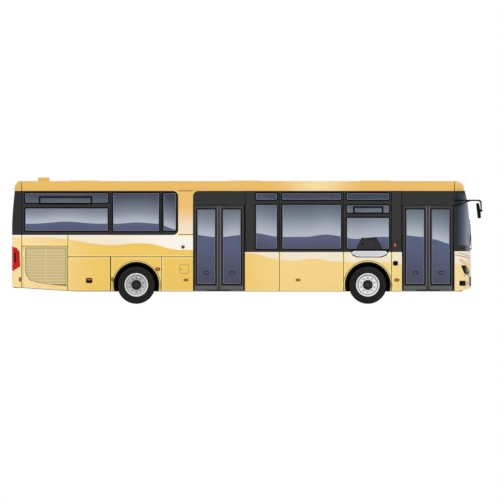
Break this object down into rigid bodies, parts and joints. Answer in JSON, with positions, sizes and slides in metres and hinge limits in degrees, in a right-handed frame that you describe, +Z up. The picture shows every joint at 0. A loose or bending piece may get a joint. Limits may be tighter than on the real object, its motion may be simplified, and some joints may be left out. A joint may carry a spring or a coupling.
{
  "type": "city bus",
  "caption": "Low-floor single-deck city bus with inward-gliding double doors, turning wheels, steering, and hinged radiator, service and engine lids.",
  "frame": {"origin": "on the ground below the middle of the bounding box", "axes": "+X forwards, +Y to the bus's left, +Z up"},
  "size_m": [12.3, 2.66, 3.3119],
  "materials": {
    "body_paint": "gloss gold and cream coach paint",
    "roof_white": "gloss",
    "black_frame": "gloss black",
    "tinted_glass": "tinted",
    "lamp_lens": "dark lens",
    "tail_lens": "red lens",
    "door_frame": "satin black",
    "arm_steel": "brushed",
    "floor_covering": "speckled",
    "inner_trim": "satin",
    "chassis_steel": "satin black",
    "engine_iron": "cast",
    "radiator_alloy": "finned",
    "black_rubber": "matt",
    "black_plastic": "moulded",
    "seat_shell": "moulded",
    "seat_dark": "woven",
    "rail_paint": "gloss",
    "dash_plastic": "grained",
    "tyre": "treaded",
    "rim_silver": "silver"
  },
  "bodies": {
    "chassis": {"nose_mask": "body_paint", "tail_mask": "body_paint", "roof_caps": "body_paint", "roof": "body_paint", "roof_fittings": "roof_white", "wall_right_rear": "body_paint", "wall_right_middle": "body_paint", "wall_left": "body_paint", "frames_right": "black_frame", "frames_left": "black_frame", "end_frames": "black_frame", "glass_right": "tinted_glass", "glass_left": "tinted_glass", "glass_rear": "tinted_glass", "windscreen": "tinted_glass", "front_lamps": "lamp_lens", "tail_lamps": "tail_lens", "door_headers": "black_frame", "seam_seals": "black_rubber", "floor": "floor_covering", "wheel_boxes": "inner_trim", "underframe": "chassis_steel", "engine": "engine_iron", "radiator": "radiator_alloy", "front_axle": "chassis_steel", "rear_axle": "chassis_steel", "suspension": "black_rubber", "mirrors": "black_plastic", "passenger_seats": "seat_shell", "handrails": "rail_paint", "cab_partition": "inner_trim", "driver_seat": "seat_dark", "dashboard": "dash_plastic"},
    "radiator_door": {"radiator_door": "body_paint"},
    "service_flap": {"service_flap": "body_paint"},
    "engine_lid": {"engine_lid": "body_paint"},
    "mid_rear_arms": {"door_mid_rear_arms": "arm_steel"},
    "mid_rear_leaf": {"door_mid_rear_leaf": "door_frame", "door_mid_rear_glass": "tinted_glass"},
    "mid_front_arms": {"door_mid_front_arms": "arm_steel"},
    "mid_front_leaf": {"door_mid_front_leaf": "door_frame", "door_mid_front_glass": "tinted_glass"},
    "front_rear_arms": {"door_front_rear_arms": "arm_steel"},
    "front_rear_leaf": {"door_front_rear_leaf": "door_frame", "door_front_rear_glass": "tinted_glass"},
    "front_front_arms": {"door_front_front_arms": "arm_steel"},
    "front_front_leaf": {"door_front_front_leaf": "door_frame", "door_front_front_glass": "tinted_glass"},
    "steer_left": {"knuckle_left": "chassis_steel"},
    "front_wheel_left": {"rim_front_left": "rim_silver", "tyre_front_left": "tyre"},
    "rear_wheel_left": {"rims_rear_left": "rim_silver", "tyres_rear_left": "tyre"},
    "steer_right": {"knuckle_right": "chassis_steel"},
    "front_wheel_right": {"rim_front_right": "rim_silver", "tyre_front_right": "tyre"},
    "rear_wheel_right": {"rims_rear_right": "rim_silver", "tyres_rear_right": "tyre"}
  },
  "joints": [
    {"name": "mid_rear_arm_turn", "type": "hinge", "parent": "chassis", "child": "mid_rear_arms", "pos_m": [-1.394, -1.248, 0.36], "axis": [0, 0, 1], "range_deg": [0, 90]},
    {"name": "mid_rear_leaf_turn", "type": "hinge", "parent": "mid_rear_arms", "child": "mid_rear_leaf", "pos_m": [-1.0665, -1.248, 0.36], "axis": [0, 0, 1], "range_deg": [-180, 0]},
    {"name": "mid_front_arm_turn", "type": "hinge", "parent": "chassis", "child": "mid_front_arms", "pos_m": [-0.084, -1.248, 0.36], "axis": [0, 0, 1], "range_deg": [-90, 0]},
    {"name": "mid_front_leaf_turn", "type": "hinge", "parent": "mid_front_arms", "child": "mid_front_leaf", "pos_m": [-0.4115, -1.248, 0.36], "axis": [0, 0, 1], "range_deg": [0, 180]},
    {"name": "front_rear_arm_turn", "type": "hinge", "parent": "chassis", "child": "front_rear_arms", "pos_m": [4.067, -1.248, 0.36], "axis": [0, 0, 1], "range_deg": [0, 90]},
    {"name": "front_rear_leaf_turn", "type": "hinge", "parent": "front_rear_arms", "child": "front_rear_leaf", "pos_m": [4.3945, -1.248, 0.36], "axis": [0, 0, 1], "range_deg": [-180, 0]},
    {"name": "front_front_arm_turn", "type": "hinge", "parent": "chassis", "child": "front_front_arms", "pos_m": [5.377, -1.248, 0.36], "axis": [0, 0, 1], "range_deg": [-90, 0]},
    {"name": "front_front_leaf_turn", "type": "hinge", "parent": "front_front_arms", "child": "front_front_leaf", "pos_m": [5.0495, -1.248, 0.36], "axis": [0, 0, 1], "range_deg": [0, 180]},
    {"name": "steer_left", "type": "hinge", "parent": "chassis", "child": "steer_left", "pos_m": [3.15, 0.9, 0.5], "axis": [0, 0, 1], "range_deg": [-40, 40]},
    {"name": "front_spin_left", "type": "hinge", "parent": "steer_left", "child": "front_wheel_left", "pos_m": [3.15, 1.095, 0.5], "axis": [0, 1, 0], "continuous": true},
    {"name": "rear_spin_left", "type": "hinge", "parent": "chassis", "child": "rear_wheel_left", "pos_m": [-2.9, 0.927, 0.5], "axis": [0, 1, 0], "continuous": true},
    {"name": "steer_right", "type": "hinge", "parent": "chassis", "child": "steer_right", "pos_m": [3.15, -0.9, 0.5], "axis": [0, 0, 1], "range_deg": [-40, 40]},
    {"name": "front_spin_right", "type": "hinge", "parent": "steer_right", "child": "front_wheel_right", "pos_m": [3.15, -1.095, 0.5], "axis": [0, 1, 0], "continuous": true},
    {"name": "rear_spin_right", "type": "hinge", "parent": "chassis", "child": "rear_wheel_right", "pos_m": [-2.9, -0.927, 0.5], "axis": [0, 1, 0], "continuous": true},
    {"name": "radiator_door_hinge", "type": "hinge", "parent": "chassis", "child": "radiator_door", "pos_m": [-5.863, -1.275, 0.9], "axis": [0, 0, -1], "range_deg": [0, 95]},
    {"name": "service_flap_hinge", "type": "hinge", "parent": "chassis", "child": "service_flap", "pos_m": [-4.136, -1.275, 1.23], "axis": [-1, 0, 0], "range_deg": [0, 85]},
    {"name": "engine_lid_hinge", "type": "hinge", "parent": "chassis", "child": "engine_lid", "pos_m": [-6.145, 0, 1.645], "axis": [0, 1, 0], "range_deg": [0, 85]}
  ],
  "couplings": [
    {"joint": "mid_rear_leaf_turn", "follows": "mid_rear_arm_turn", "ratio": -2},
    {"joint": "mid_front_arm_turn", "follows": "mid_rear_arm_turn", "ratio": -1},
    {"joint": "mid_front_leaf_turn", "follows": "mid_rear_arm_turn", "ratio": 2},
    {"joint": "front_rear_leaf_turn", "follows": "front_rear_arm_turn", "ratio": -2},
    {"joint": "front_front_arm_turn", "follows": "front_rear_arm_turn", "ratio": -1},
    {"joint": "front_front_leaf_turn", "follows": "front_rear_arm_turn", "ratio": 2},
    {"joint": "steer_right", "follows": "steer_left", "ratio": 1}
  ]
}
